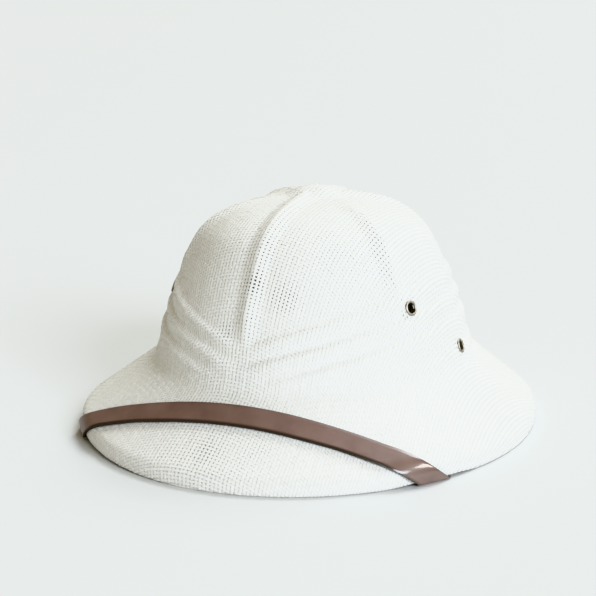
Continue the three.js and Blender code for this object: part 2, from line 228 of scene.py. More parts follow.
def fold_lip(fold, phi):
    lip, lowest = fold[3:]
    sine = np.where(np.cos(phi) > 0, abs(np.sin(phi)), 1)
    at_front = between(FRONT_FADE_SHARE, 1, ease(sine, 0, FRONT_FADE_SINE))
    return lip * at_front * ease(fold_height(fold, phi), lowest, lowest + FOLD_RUN_OUT)


def ridge_at(across):
    """The height of a rib, from 1 on its crest to 0 at its edge."""
    rounded = np.hypot(np.minimum(across / RIB_HALF_WIDTH, 1), RIB_CREST)
    edge = math.hypot(1, RIB_CREST)
    return ((edge - rounded) / (edge - RIB_CREST)) ** RIB_POWER


def relief(phi, run):
    """How far the folds and ribs stand out of the form."""
    height = profile_at(run)[1] - BASE_HEIGHT
    valley = np.zeros_like(height)
    stands_out = np.zeros_like(height)
    for fold in FOLDS:
        edge = fold_height(fold, phi)
        slope = np.clip((height - valley) / (edge - valley), 0, 1)
        step_back = np.clip(1 - (height - edge) / FOLD_RISE, 0, 1)
        rolled = fold_lip(fold, phi) * ease(np.minimum(slope, step_back), 0, 1)
        stands_out = np.where(height > valley, rolled, stands_out)
        valley = edge + FOLD_RISE
    valley_run = crown_run_at(valley)
    sector = 2 * math.pi / RIB_COUNT
    number = np.round(phi / sector)
    flat = form_point(phi, run)
    from_axis = np.hypot(flat[..., 0], flat[..., 1] - APEX_Y)
    front = ridge_at(abs(flat[..., 0]))
    at_back = abs(number) > 1
    full = np.where(at_back, BACK_RIB_FULL, RIB_FADE_FULL)
    sunk = np.where(at_back, ease(from_axis, BACK_RIB_SINKS, BACK_RIB_LOW), 0)
    fade = ease(from_axis, RIB_FADE_NONE, full) * between(1, BACK_RIB_SHARE, sunk)
    beside_it = ridge_at(abs(phi - sector * number) * from_axis) * fade
    boss = BOSS_HEIGHT / RIB_HEIGHT * (1 - ease(from_axis, BOSS_FLAT, BOSS_REACH))
    ridge = np.maximum(np.where(number == 0, front, beside_it), boss)
    above = valley_run - run
    rib = RIB_HEIGHT * ridge * between(RIB_FOOT_SHARE, 1, ease(above, 0, RIB_FOOT_LENGTH))
    return stands_out + np.where(above > 0, rib, rib * np.clip(1 + above / FOLD_RISE, 0, 1))


def straw_point(phi, run, proud=0.0):
    """A point of the pressed straw, this far proud of its outer face."""
    return form_point(phi, run) + outward_of(form_point, phi, run) * (relief(phi, run) + proud)[..., None]


# Eyelet seats
# Two eyelets are punched through each side of the crown, one at a rib's foot and one low beside the ear.
# Here are their places: the straw, the strap and the eyelets themselves all need them.
EYELET_FLANGE = 9.8
EYELET_BORE = 6.4
EYELET_TUBE_WALL = 0.5
EYELET_HOLE_CLEAR = 0.35
EYELET_HOLE = EYELET_BORE / 2 + EYELET_TUBE_WALL + EYELET_HOLE_CLEAR

# Node name, angle round the hat in degrees, height above the crown's base, and how proud the seat stands
EYELET_PLACES = [
    ("eyelet_left_front", 65.2, 43.7, 1.2),
    ("eyelet_left_side", 90.2, 10.8, 1.0),
    ("eyelet_right_front", -65.2, 43.7, 1.2),
    ("eyelet_right_side", -90.2, 10.8, 1.0),
]
eyelet_seats = {}
for name, degrees, height, proud in EYELET_PLACES:
    phi = np.array(math.radians(degrees))
    run = np.array(crown_run_at(height))
    eyelet_seats[name] = (form_point(phi, run), outward_of(form_point, phi, run), proud)


# The woven straw
# Flat straws in plain weave, warp from front to back and weft from side to side. Pressing shears the square
# cloth over the dome, so the straws lean together between front and side. Each straw is one closed strip.
CLOTH_TURN = math.radians(-3.9)
CLOTH_SHEAR = 0.315
CLOTH_DRAW_IN = 0.1
CLOTH_CORNERS = 4
CLOTH_ROUNDS = 60
CLOTH_SPARE = 1.02
WARP_PITCH = 2.81
WEFT_PITCH = 2.235
CLOTH_DEPTH = 0.42
STRAW_UNEVEN = 0.3
STRAW_UNEVEN_SCALE = 400
STRAW_UNEVEN_DETAIL = 1
STRAW_WANDER = 0.06
FEWEST_CROSSINGS = 3
BEND_TOLERANCE = 0.1
BEND_ROUNDS = 3
SHARP_ANGLE = 1.2
SEAT_FLAT = 5.2
SEAT_FADE = 8.5
CLOTH_SEED = 7

# The columns of the rows that describe the straws, one row for each crossing
ACROSS, ALONG, OVER, NUMBER = range(4)

# The warp lies nearly straight, and the thinner weft bends over and under it.
# The columns are the width, the thickness and the height that a straw rises and falls.
WARP_SIZES = (2.08, 0.5, 0.05)
WEFT_SIZES = (1.66, 0.44, 0.1)

# Places where handling has opened the weave: the angle in degrees, the distance from the top, the reach, and
# how far the straws there have opened. A few more lie anywhere at the back, within the ranges below.
LOOSE_PLACES = [
    (0.4, 104.6, 10, 1.0),
    (14.4, 111.8, 14, 0.65),
    (-8.0, 134.6, 8, 0.7),
    (-0.8, 212.6, 12, 0.5),
    (12.8, 206.6, 12, 0.45),
]
LOOSE_SHARE = 0.25
LOOSE_CORE = 0.3
LOOSE_ELSEWHERE = 18
LOOSE_BACK_DEGREES = (120, 285)
LOOSE_BACK_FROM = 40
LOOSE_BACK_REACH = (6, 13)
LOOSE_BACK_OPENING = 0.7
wander = np.random.default_rng(CLOTH_SEED)
loose_places = list(LOOSE_PLACES)
for _ in range(LOOSE_ELSEWHERE):
    degrees = wander.uniform(*LOOSE_BACK_DEGREES)
    run = wander.uniform(LOOSE_BACK_FROM, CROWN_RUN)
    reach = wander.uniform(*LOOSE_BACK_REACH)
    loose_places.append((degrees, run, reach, LOOSE_BACK_OPENING))
loose_spots = []
for degrees, run, reach, share in loose_places:
    loose_spots.append((straw_point(np.radians(degrees), np.array(run)), reach, share))


def cloth_place(u, v):
    """The angle and the distance from the top where a place on the flat cloth comes to lie."""
    flat_turn = np.arctan2(u, v)
    flat_radius = np.hypot(u, v)
    turn = flat_turn.copy()
    run = flat_radius.copy()
    for _ in range(CLOTH_ROUNDS):
        grown = np.minimum(run / CROWN_RUN, 1) ** 2
        turn = flat_turn + CLOTH_SHEAR * grown * np.sin(CLOTH_CORNERS * turn) / CLOTH_CORNERS
        run = flat_radius / (1 - CLOTH_DRAW_IN * grown * (1 - np.cos(CLOTH_CORNERS * turn)) / 2)
    return turn + CLOTH_TURN, run


def cloth_run(place, along, first_over):
    """How far from the top the places along one straw come to lie."""
    across = np.full_like(along, place)
    return cloth_place(across, along)[1] if first_over > 0 else cloth_place(along, across)[1]


def straws_one_way(pitch_across, pitch_along, first_over):
    """Straws in one direction as rows of across, along, over or under, and the straw's number."""
    reach = HEM_RUN * CLOTH_SPARE
    across = (np.arange(-int(reach / pitch_across), int(reach / pitch_across)) + 0.5) * pitch_across
    along = (np.arange(-int(reach / pitch_along) - 1, int(reach / pitch_along) + 1) + 0.5) * pitch_along
    rows = []
    for number, place in enumerate(across):
        run = cloth_run(place, along, first_over)
        on_hat = np.flatnonzero(run < HEM_RUN)
        if len(on_hat) < FEWEST_CROSSINGS:
            continue
        first, last = on_hat[0], on_hat[-1]
        over = first_over * (-1.0) ** (number + np.arange(len(along)))
        ends = []
        for inner, outer in ((first, first - 1), (last, last + 1)):
            share = (HEM_RUN - run[inner]) / (run[outer] - run[inner])
            ends.append((place, between(along[inner], along[outer], share), 0.0, number))
        middle = [(place, along[i], over[i], number) for i in on_hat]
        rows += [ends[0], *middle, ends[1]]
    return np.array(rows)


def laid_straws(rows, warp):
    """Points on the hat along the straws, with more of them where the cloth bends."""
    def lay(rows):
        u, v = (rows[:, ACROSS], rows[:, ALONG]) if warp else (rows[:, ALONG], rows[:, ACROSS])
        phi, run = cloth_place(u, v)
        run = np.minimum(run, HEM_RUN)
        return phi, run, straw_point(phi, run, -CLOTH_DEPTH)

    for _ in range(BEND_ROUNDS):
        middles = (rows[1:] + rows[:-1]) / 2
        same = rows[1:, NUMBER] == rows[:-1, NUMBER]
        ends = lay(rows)[2]
        sag = np.linalg.norm(lay(middles)[2] - (ends[1:] + ends[:-1]) / 2, axis=1)
        wanted = np.flatnonzero(same & (sag > BEND_TOLERANCE))
        rows = np.insert(rows, wanted + 1, middles[wanted], axis=0)
    phi, run, points = lay(rows)
    loose = np.zeros(len(points))
    for place, reach, share in loose_spots:
        off_it = np.linalg.norm(points - place, axis=1)
        loose = np.maximum(loose, share * (1 - ease(off_it, reach * LOOSE_CORE, reach)))
    wandering = wander.normal(0, STRAW_WANDER, points.shape) * (run < BRIM_END_RUN)[:, None]
    return rows, points + wandering, outward_of(straw_point, phi, run), loose


def open_eyelets(points, number):
    """Presses the straws flat under the eyelets and cuts them at the holes. Gives points and edges."""
    edge = number[1:] == number[:-1]
    for seat, axis, proud in eyelet_seats.values():
        offset = points - seat
        along = offset @ axis
        from_axis = np.linalg.norm(offset - along[:, None] * axis, axis=1)
        near = (from_axis < SEAT_FADE) & (abs(along) < SEAT_FADE)
        press = (proud - CLOTH_DEPTH - along) * (1 - ease(from_axis, SEAT_FLAT, SEAT_FADE))
        points = points + np.where(near, press, 0)[:, None] * axis
        inside = near & (from_axis < EYELET_HOLE)
        edge = edge & ~(inside[1:] & inside[:-1])
        for k in np.flatnonzero(inside):
            for neighbour in (k - 1, k + 1):
                if number[neighbour] == number[k] and not inside[neighbour]:
                    share = (EYELET_HOLE - from_axis[k]) / (from_axis[neighbour] - from_axis[k])
                    points[k] = between(points[k], points[neighbour], share)
    first = np.flatnonzero(edge)
    return points, np.column_stack([first, first + 1])


def new_object(name, data):
    made = bpy.data.objects.new(name, data)
    bpy.context.scene.collection.objects.link(made)
    return made


def point_values(mesh, name, values):
    """Stores a number or a vector for each point of a mesh."""
    kind, field = ("FLOAT_VECTOR", "vector") if values.ndim == 2 else ("FLOAT", "value")
    layer = mesh.attributes.new(name, kind, "POINT")
    layer.data.foreach_set(field, values.astype(np.float32).ravel())


def line_object(name, points, edges, attributes):
    mesh = bpy.data.meshes.new(name)
    mesh.from_pydata((points * MM).tolist(), edges.tolist(), [])
    for key, values in attributes.items():
        point_values(mesh, key, values)
    return new_object(name, mesh)


def named_input(tree, name, kind):
    return tree.interface.new_socket(name, in_out="INPUT", socket_type=kind).identifier


def straw_tree():
    """Makes strips of straw along lines that carry their outward direction and their over and under."""
    tree = bpy.data.node_groups.new("straw strips", "GeometryNodeTree")
    named_input(tree, "Lines", "NodeSocketGeometry")
    inputs = {
        "width": named_input(tree, "Straw Width", "NodeSocketFloat"),
        "thickness": named_input(tree, "Straw Thickness", "NodeSocketFloat"),
        "height": named_input(tree, "Weave Height", "NodeSocketFloat"),
        "uneven": named_input(tree, "Unevenness", "NodeSocketFloat"),
        "loose": named_input(tree, "Loose Share", "NodeSocketFloat"),
        "seed": named_input(tree, "Seed", "NodeSocketInt"),
        "material": named_input(tree, "Straw", "NodeSocketMaterial"),
    }
    tree.interface.new_socket("Strips", in_out="OUTPUT", socket_type="NodeSocketGeometry")
    nodes = tree.nodes
    link = tree.links.new
    source = nodes.new("NodeGroupInput")

    def attribute(name, kind):
        node = nodes.new("GeometryNodeInputNamedAttribute")
        node.data_type = kind
        node.inputs["Name"].default_value = name
        return node.outputs["Attribute"]

    def store(geometry, name, value):
        node = nodes.new("GeometryNodeStoreNamedAttribute")
        node.domain = "POINT"
        node.inputs["Name"].default_value = name
        link(geometry, node.inputs["Geometry"])
        link(value, node.inputs["Value"])
        return node.outputs["Geometry"]

    def math_node(operation, first, second):
        node = nodes.new("ShaderNodeMath")
        node.operation = operation
        for socket, value in zip(node.inputs, (first, second)):
            if isinstance(value, (int, float)):
                socket.default_value = value
            else:
                link(value, socket)
        return node.outputs["Value"]

    outward = attribute("outward", "FLOAT_VECTOR")
    lift = nodes.new("ShaderNodeVectorMath")
    lift.operation = "SCALE"
    link(outward, lift.inputs[0])
    rise = math_node("MULTIPLY", attribute("over", "FLOAT"), source.outputs["Weave Height"])
    link(rise, lift.inputs["Scale"])
    woven = nodes.new("GeometryNodeSetPosition")
    link(source.outputs["Lines"], woven.inputs["Geometry"])
    link(lift.outputs["Vector"], woven.inputs["Offset"])
    curve = nodes.new("GeometryNodeMeshToCurve")
    link(woven.outputs["Geometry"], curve.inputs["Mesh"])
    turned = nodes.new("GeometryNodeSetCurveNormal")
    turned.mode = "FREE"
    link(curve.outputs["Curve"], turned.inputs["Curve"])
    link(outward, turned.inputs["Normal"])

    number = nodes.new("GeometryNodeCurveOfPoint")
    tint = nodes.new("FunctionNodeRandomValue")
    link(number.outputs["Curve Index"], tint.inputs["ID"])
    link(source.outputs["Seed"], tint.inputs["Seed"])
    # The first output of this node is a vector, and the second is a plain number.
    tinted = store(turned.outputs["Curve"], "straw_tint", tint.outputs[1])
    place = nodes.new("GeometryNodeSplineParameter")
    measured = store(tinted, "straw_run", place.outputs["Length"])

    section = nodes.new("GeometryNodeCurvePrimitiveQuadrilateral")
    link(source.outputs["Straw Thickness"], section.inputs["Width"])
    link(source.outputs["Straw Width"], section.inputs["Height"])
    corner_place = nodes.new("GeometryNodeInputPosition")
    corner_axes = nodes.new("ShaderNodeSeparateXYZ")
    link(corner_place.outputs["Position"], corner_axes.inputs["Vector"])
    side = math_node("DIVIDE", corner_axes.outputs["Y"], source.outputs["Straw Width"])
    flat_section = store(section.outputs["Curve"], "straw_side", side)

    chance = nodes.new("ShaderNodeTexNoise")
    chance.inputs["Detail"].default_value = STRAW_UNEVEN_DETAIL
    chance.inputs["Scale"].default_value = STRAW_UNEVEN_SCALE
    off_middle = math_node("SUBTRACT", 0.5, chance.outputs["Fac"])
    uneven = math_node("MULTIPLY", off_middle, source.outputs["Unevenness"])
    narrowed = math_node("MULTIPLY", attribute("loose", "FLOAT"), source.outputs["Loose Share"])
    strips = nodes.new("GeometryNodeCurveToMesh")
    link(measured, strips.inputs["Curve"])
    link(flat_section, strips.inputs["Profile Curve"])
    link(math_node("SUBTRACT", math_node("ADD", 1, uneven), narrowed), strips.inputs["Scale"])
    strips.inputs["Fill Caps"].default_value = True
    smooth = nodes.new("GeometryNodeSetShadeSmooth")
    link(strips.outputs["Mesh"], smooth.inputs["Geometry"])
    corner = nodes.new("GeometryNodeInputMeshEdgeAngle")
    sharp = nodes.new("GeometryNodeSetShadeSmooth")
    sharp.domain = "EDGE"
    sharp.inputs["Shade Smooth"].default_value = False
    link(smooth.outputs["Geometry"], sharp.inputs["Geometry"])
    is_sharp = math_node("GREATER_THAN", corner.outputs["Unsigned Angle"], SHARP_ANGLE)
    link(is_sharp, sharp.inputs["Selection"])
    real = nodes.new("GeometryNodeRealizeInstances")
    link(sharp.outputs["Geometry"], real.inputs["Geometry"])
    painted = nodes.new("GeometryNodeSetMaterial")
    link(real.outputs["Geometry"], painted.inputs["Geometry"])
    link(source.outputs["Straw"], painted.inputs["Material"])
    result = nodes.new("NodeGroupOutput")
    link(painted.outputs["Geometry"], result.inputs["Strips"])
    return tree, inputs


def baked(piece):
    """The piece with its modifiers turned into a plain mesh."""
    ready = piece.evaluated_get(bpy.context.evaluated_depsgraph_get())
    mesh = bpy.data.meshes.new_from_object(ready)
    mesh.name = piece.name
    piece.modifiers.clear()
    piece.data = mesh
    return piece


STRAW_DULL = (0.89, 0.885, 0.868, 1)
STRAW_BRIGHT = (0.955, 0.955, 0.945, 1)
STRAW_ROUGHNESS = 0.68
STRAW_SPECULAR = 0.35
FIBRE_STRETCH = (160, 4, 40)
FIBRE_DETAIL = 3
FIBRE_DARK = (0.95, 0.94, 0.92, 1)
FIBRE_RANGE = (0.3, 0.6)
FIBRE_BUMP_STRENGTH = 0.35
FIBRE_BUMP_HEIGHT = 0.2
# The colour of the painted shade on the straws' edges, towards the gaps between them, and where across the
# straw it comes in
STRAW_EDGE_SHADE = (0.7, 0.68, 0.635, 1)
STRAW_EDGE_SHADE_RANGE = (0.08, 0.25)
STRAW_CROWN_HEIGHT = 0.35
NO_TINT = (1, 1, 1, 1)


def new_material(name):
    """A material, its nodes, the call that links them, and its shader."""
    material = bpy.data.materials.new(name)
    material.use_nodes = True
    nodes = material.node_tree.nodes
    return material, nodes, material.node_tree.links.new, nodes["Principled BSDF"]


def attribute_value(nodes, name):
    node = nodes.new("ShaderNodeAttribute")
    node.attribute_name = name
    return node.outputs["Fac"]


def straw_material():
    material, nodes, link, shader = new_material("bleached straw")
    shader.inputs["Roughness"].default_value = STRAW_ROUGHNESS
    shader.inputs["Specular IOR Level"].default_value = STRAW_SPECULAR

    def ramp(value, places, first, last):
        node = nodes.new("ShaderNodeValToRGB")
        for element, place, colour in zip(node.color_ramp.elements, places, (first, last)):
            element.position = place
            element.color = colour
        link(value, node.inputs["Fac"])
        return node.outputs["Color"]

    def multiplied(first, second):
        node = nodes.new("ShaderNodeMix")
        node.data_type = "RGBA"
        node.blend_type = "MULTIPLY"
        node.inputs["Factor"].default_value = 1
        link(first, node.inputs["A"])
        link(second, node.inputs["B"])
        return node.outputs["Result"]

    tint = attribute_value(nodes, "straw_tint")
    side = attribute_value(nodes, "straw_side")
    place = nodes.new("ShaderNodeCombineXYZ")
    link(attribute_value(nodes, "straw_run"), place.inputs["X"])
    link(side, place.inputs["Y"])
    link(tint, place.inputs["Z"])
    stretch = nodes.new("ShaderNodeMapping")
    stretch.inputs["Scale"].default_value = FIBRE_STRETCH
    link(place.outputs["Vector"], stretch.inputs["Vector"])
    fibre = nodes.new("ShaderNodeTexNoise")
    fibre.inputs["Scale"].default_value = 1
    fibre.inputs["Detail"].default_value = FIBRE_DETAIL
    link(stretch.outputs["Vector"], fibre.inputs["Vector"])

    squared = nodes.new("ShaderNodeMath")
    squared.operation = "MULTIPLY"
    link(side, squared.inputs[0])
    link(side, squared.inputs[1])
    by_straw = ramp(tint, (0, 1), STRAW_DULL, STRAW_BRIGHT)
    streaks = ramp(fibre.outputs["Fac"], FIBRE_RANGE, FIBRE_DARK, NO_TINT)
    # Painted shade: each straw darkens towards its edges, where the gaps between the straws lie in shade.
    straw_edge_shade = ramp(squared.outputs["Value"], STRAW_EDGE_SHADE_RANGE, NO_TINT, STRAW_EDGE_SHADE)
    link(multiplied(multiplied(by_straw, streaks), straw_edge_shade), shader.inputs["Base Color"])

    # The straw's face is a little crowned across, and fibres run along it.
    crowned = nodes.new("ShaderNodeBump")
    crowned.invert = True
    crowned.inputs["Strength"].default_value = 1
    crowned.inputs["Distance"].default_value = STRAW_CROWN_HEIGHT * MM
    link(squared.outputs["Value"], crowned.inputs["Height"])
    bump = nodes.new("ShaderNodeBump")
    bump.inputs["Strength"].default_value = FIBRE_BUMP_STRENGTH
    bump.inputs["Distance"].default_value = FIBRE_BUMP_HEIGHT * MM
    link(fibre.outputs["Fac"], bump.inputs["Height"])
    link(crowned.outputs["Normal"], bump.inputs["Normal"])
    link(bump.outputs["Normal"], shader.inputs["Normal"])
    return material


bleached_straw = straw_material()
strip_tree, strip_inputs = straw_tree()


def weave(name, points, edges, attributes, sizes):
    """Makes strips of straw along these lines, and puts them in the place of the shell."""
    width, thickness, height = sizes
    piece = line_object(name, points, edges, attributes)
    modifier = piece.modifiers.new("straw strips", "NODES")
    modifier.node_group = strip_tree
    values = {
        "width": width * MM,
        "thickness": thickness * MM,
        "height": height * MM,
        "uneven": STRAW_UNEVEN,
        "loose": LOOSE_SHARE,
        "seed": CLOTH_SEED,
        "material": bleached_straw,
    }
    for key, value in values.items():
        modifier[strip_inputs[key]] = value
    mesh = baked(piece).data
    corners = np.zeros(len(mesh.vertices) * 3, np.float32)
    mesh.vertices.foreach_get("co", corners)
    # Nothing goes below the table.
    corners[2::3] = np.maximum(corners[2::3], 0)
    mesh.vertices.foreach_set("co", corners)
    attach(piece, "root")
    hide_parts("straw_shell")


def part_of_cloth(name, rows, points, outward, loose, chosen, sizes):
    """Weaves the chosen straws into one piece, open at the eyelets."""
    number = np.where(chosen, rows[:, NUMBER], -1 - np.arange(len(rows)))
    points, edges = open_eyelets(points.copy(), number)
    used = np.unique(edges)
    renumber = np.zeros(len(points), int)
    renumber[used] = np.arange(len(used))
    attributes = {"over": rows[used, OVER], "outward": outward[used], "loose": loose[used]}
    weave(name, points[used], renumber[edges], attributes, sizes)


for direction, pitches, first_over, sizes, halves in (
    ("warp", (WARP_PITCH, WEFT_PITCH), 1, WARP_SIZES, ("right", "left")),
    ("weft", (WEFT_PITCH, WARP_PITCH), -1, WEFT_SIZES, ("back", "front")),
):
    rows = straws_one_way(*pitches, first_over)
    rows, points, outward, loose = laid_straws(rows, direction == "warp")
    for half, chosen in zip(halves, (rows[:, ACROSS] < 0, rows[:, ACROSS] > 0)):
        part_of_cloth(f"straw_{direction}_{half}", rows, points, outward, loose, chosen, sizes)


# The eyelets
# Four turned eyelets of satin metal, pushed through the straw from outside and rolled over inside. Their
# outer flange is a half-round ring. The two at the sides also go through the strap's ends, inside the crown.
EYELET_INNER_FLANGE = 9.2
EYELET_RISE = 0.9
EYELET_CLEAR = 0.15
EYELET_ROLL = 0.5
EYELET_STRAP_ROOM = 2.4
EYELET_STEPS = 48
EYELET_RING_STEPS = 13
EYELET_ROLL_STEPS = 5
EYELET_UNDERCUT = 0.25
EYELET_RIM = 0.2
EYELET_LIP = 0.15
CROWN_WALL = 2.0
HOLLOW_GAP = 0.6
METAL_CLOUD = {
    "Cloud Scale": 420,
    "Cloud Detail": 4,
    "Dark Below": 0.3,
    "Light Above": 0.65,
    "Dark Tone": (0.24, 0.215, 0.18, 1),
    "Light Tone": (0.4, 0.37, 0.32, 1),
    "Least Roughness": 0.32,
    "Most Roughness": 0.5,
}


def eyelet_profile(seat, holds_strap):
    """Distance from the eyelet's axis and height along it, once round the wall of the ring."""
    bore = EYELET_BORE / 2
    outer = EYELET_FLANGE / 2
    inner = EYELET_INNER_FLANGE / 2
    tube = bore + EYELET_TUBE_WALL
    top = seat + EYELET_CLEAR
    foot = -CROWN_WALL - HOLLOW_GAP - (EYELET_STRAP_ROOM if holds_strap else 0)
    line = [(tube, foot), (tube, top), (outer - EYELET_UNDERCUT, top)]
    for turn in np.linspace(0, math.pi, EYELET_RING_STEPS):
        radius = (outer + bore) / 2 + (outer - bore) / 2 * math.cos(turn)
        line.append((radius, top + EYELET_RIM + (EYELET_RISE - EYELET_RIM) * math.sin(turn)))
    for turn in np.linspace(0, math.pi / 2, EYELET_ROLL_STEPS):
        line.append((bore + EYELET_ROLL * (1 - math.cos(turn)), foot - EYELET_ROLL * math.sin(turn)))
    line.append((inner - EYELET_LIP, foot - EYELET_ROLL))
    line.append((inner, foot - EYELET_ROLL / 2))
    line.append((inner - EYELET_LIP, foot))
    return np.array(line)


def cloudy_finish():
    """A shader group that clouds a surface: soft noise mixes two tones and two roughnesses."""
    group = bpy.data.node_groups.new("cloudy finish", "ShaderNodeTree")
    for name, kind in (
        ("Place", "NodeSocketVector"),
        ("Cloud Scale", "NodeSocketFloat"),
        ("Cloud Detail", "NodeSocketFloat"),
        ("Dark Below", "NodeSocketFloat"),
        ("Light Above", "NodeSocketFloat"),
        ("Dark Tone", "NodeSocketColor"),
        ("Light Tone", "NodeSocketColor"),
        ("Least Roughness", "NodeSocketFloat"),
        ("Most Roughness", "NodeSocketFloat"),
    ):
        named_input(group, name, kind)
    group.interface.new_socket("Tone", in_out="OUTPUT", socket_type="NodeSocketColor")
    group.interface.new_socket("Roughness", in_out="OUTPUT", socket_type="NodeSocketFloat")
    nodes = group.nodes
    link = group.links.new
    source = nodes.new("NodeGroupInput").outputs
    cloud = nodes.new("ShaderNodeTexNoise")
    link(source["Place"], cloud.inputs["Vector"])
    link(source["Cloud Scale"], cloud.inputs["Scale"])
    link(source["Cloud Detail"], cloud.inputs["Detail"])
    share = nodes.new("ShaderNodeMapRange")
    link(cloud.outputs["Fac"], share.inputs["Value"])
    link(source["Dark Below"], share.inputs["From Min"])
    link(source["Light Above"], share.inputs["From Max"])
    tone = nodes.new("ShaderNodeMix")
    tone.data_type = "RGBA"
    link(share.outputs["Result"], tone.inputs["Factor"])
    link(source["Dark Tone"], tone.inputs["A"])
    link(source["Light Tone"], tone.inputs["B"])
    roughness = nodes.new("ShaderNodeMapRange")
    link(cloud.outputs["Fac"], roughness.inputs["Value"])
    link(source["Least Roughness"], roughness.inputs["To Min"])
    link(source["Most Roughness"], roughness.inputs["To Max"])
    result = nodes.new("NodeGroupOutput")
    link(tone.outputs["Result"], result.inputs["Tone"])
    link(roughness.outputs["Result"], result.inputs["Roughness"])
    return group


clouds = cloudy_finish()


def clouded(nodes, link, place, values):
    """Places the cloudy finish in a material, with the values that are its own."""
    node = nodes.new("ShaderNodeGroup")
    node.node_tree = clouds
    link(place, node.inputs["Place"])
    for name, value in values.items():
        node.inputs[name].default_value = value
    return node.outputs


def metal_finish():
    material, nodes, link, shader = new_material("satin metal")
    shader.inputs["Metallic"].default_value = 1
    place = nodes.new("ShaderNodeTexCoord").outputs["Object"]
    finish = clouded(nodes, link, place, METAL_CLOUD)
    link(finish["Tone"], shader.inputs["Base Color"])
    link(finish["Roughness"], shader.inputs["Roughness"])
    return material


def plain_object(name, points, faces, material):
    mesh = bpy.data.meshes.new(name)
    mesh.from_pydata((np.asarray(points) * MM).tolist(), [], faces)
    mesh.materials.append(material)
    mesh.shade_smooth()
    return new_object(name, mesh)


def ring_faces(rings, sides, closed):
    """Quads between neighbouring rings of points, also from the last to the first where it is closed."""
    faces = []
    for i in range(rings if closed else rings - 1):
        for k in range(sides):
            here = i * sides
            there = (i + 1) % rings * sides
            faces.append((here + k, here + (k + 1) % sides, there + (k + 1) % sides, there + k))
    return faces


satin_metal = metal_finish()
for name, (seat, axis, proud) in eyelet_seats.items():
    side_axis = np.cross(axis, (0, 0, 1.0))
    side_axis /= np.linalg.norm(side_axis)
    up_axis = np.cross(side_axis, axis)
    line = eyelet_profile(proud, "side" in name)
    turns = np.linspace(0, 2 * math.pi, EYELET_STEPS, endpoint=False)
    round_axis = np.outer(np.cos(turns), side_axis) + np.outer(np.sin(turns), up_axis)
    points = seat + line[None, :, 0, None] * round_axis[:, None] + line[None, :, 1, None] * axis
    faces = ring_faces(EYELET_STEPS, len(line), True)
    eyelet = plain_object(f"{name}_ring", points.reshape(-1, 3), faces, satin_metal)
    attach(eyelet, "root")
    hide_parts(name)


# The chin strap
# One flat strap of smooth brown leather with rounded, burnished edges, tight over the front of the brim. It
# bends round the turned-down edge, where the hat's weight has pressed it thin, and goes up inside the crown,
# where the side eyelets hold its ends.
STRAP_WIDTH = 14.0
STRAP_THICKNESS = 2.2
STRAP_FRONT_OFFSET = 14.7
STRAP_FOLD_RADIUS = 148.0
STRAP_END_PAST = 9.0
STRAP_TURN = math.radians(2.2)
STRAP_CLEAR = 0.2
STRAP_LIP_ROUND = 8.0
STRAP_LIP_OUT = 0.7
STRAP_PRESSED = 1.2
STRAP_PRESSED_FLAT = 4.0
STRAP_PRESSED_REACH = 9.0
STRAP_EDGE_ROUND = 1.2
STRAP_INSIDE_ROUND = 3.0
STRAP_LEVEL_FROM = 0.4
STRAP_LEVEL_TO = 0.85
STRAP_LEVEL_AT_END = 4.0
STRAP_ROLL = 0.04
STRAP_ROLL_STEPS = 7
STRAP_ROLL_POWER = 0.7
STRAP_FACE_STEPS = 9
STRAP_SLOPE_STEPS = 40
STRAP_INSIDE_STEPS = 50
STRAP_STEP_DIGITS = 3
STRAP_BURNISH = (1 - 1.2 * STRAP_ROLL, 1 - 0.6 * STRAP_ROLL)
# The range across the strap where painted shade darkens its lower edge, wider than the burnish
STRAP_LOWER_EDGE_SHADE = (0.84, 0.92)
STRAP_POLISH_ANGLES = (math.radians(38), math.radians(49))
SMALL_TURN = 1e-4
LOWEST_BAND = 0.01
PUNCH_DEPTH = 40.0
LEATHER_CLOUD = {
    "Cloud Scale": 60,
    "Cloud Detail": 5,
    "Dark Below": 0.3,
    "Light Above": 0.7,
    "Dark Tone": (0.168, 0.105, 0.087, 1),
    "Light Tone": (0.222, 0.145, 0.122, 1),
    "Least Roughness": 0.3,
    "Most Roughness": 0.42,
}
LEATHER_EDGE = (0.045, 0.033, 0.026, 1)
LEATHER_SPECULAR = 0.25
LEATHER_COAT_IOR = 1.6
LEATHER_COAT_ROUGHNESS = 0.13
GRAIN_SCALE = 1500
GRAIN_STRENGTH = 0.12
GRAIN_HEIGHT = 0.3
WALL_OUT = -7.9
WALL_UP = 24.0
_, side_degrees, SIDE_EYELET_HEIGHT, _ = EYELET_PLACES[1]
SIDE_EYELET_ANGLE = math.radians(side_degrees)


def beside(corners, offset):
    """A line of corners moved sideways by this much, outwards where it is positive."""
    corners = np.asarray(corners, float)
    along = np.diff(corners, axis=0)
    along /= np.linalg.norm(along, axis=1)[:, None]
    normals = np.column_stack([-along[:, 1], along[:, 0]])
    before = np.vstack([normals[:1], normals])
    after = np.vstack([normals, normals[-1:]])
    return corners + offset * (before + after) / (1 + (before * after).sum(axis=1))[:, None]


